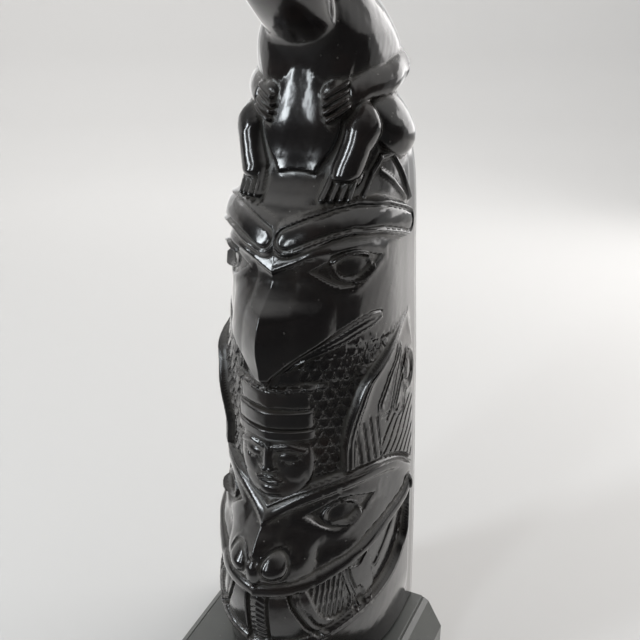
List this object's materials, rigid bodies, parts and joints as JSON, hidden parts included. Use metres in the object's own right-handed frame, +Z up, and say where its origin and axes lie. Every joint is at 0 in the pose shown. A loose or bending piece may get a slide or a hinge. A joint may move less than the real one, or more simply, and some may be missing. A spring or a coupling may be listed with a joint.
{
  "type": "totem pole figurine",
  "caption": "Glossy black cast totem pole with a flat back: a crouching animal over a great bird, a small hatted head and a broad-mouthed animal head, on a bevelled plinth.",
  "frame": {"origin": "middle of the plinth's underside", "axes": "+Z up the pole, -Y out of the carved front, +X to the right seen from the front"},
  "size_m": [0.1052, 0.0908, 0.3043],
  "materials": {
    "black_gloss": "polished black cast resin, near mirror gloss with slight orange peel, fine pits and dust in the cuts",
    "black_satin": "satin greenish black cast resin, fine sanded grain"
  },
  "bodies": {
    "root": {"pole": "black_gloss", "plinth": "black_satin"}
  },
  "joints": []
}
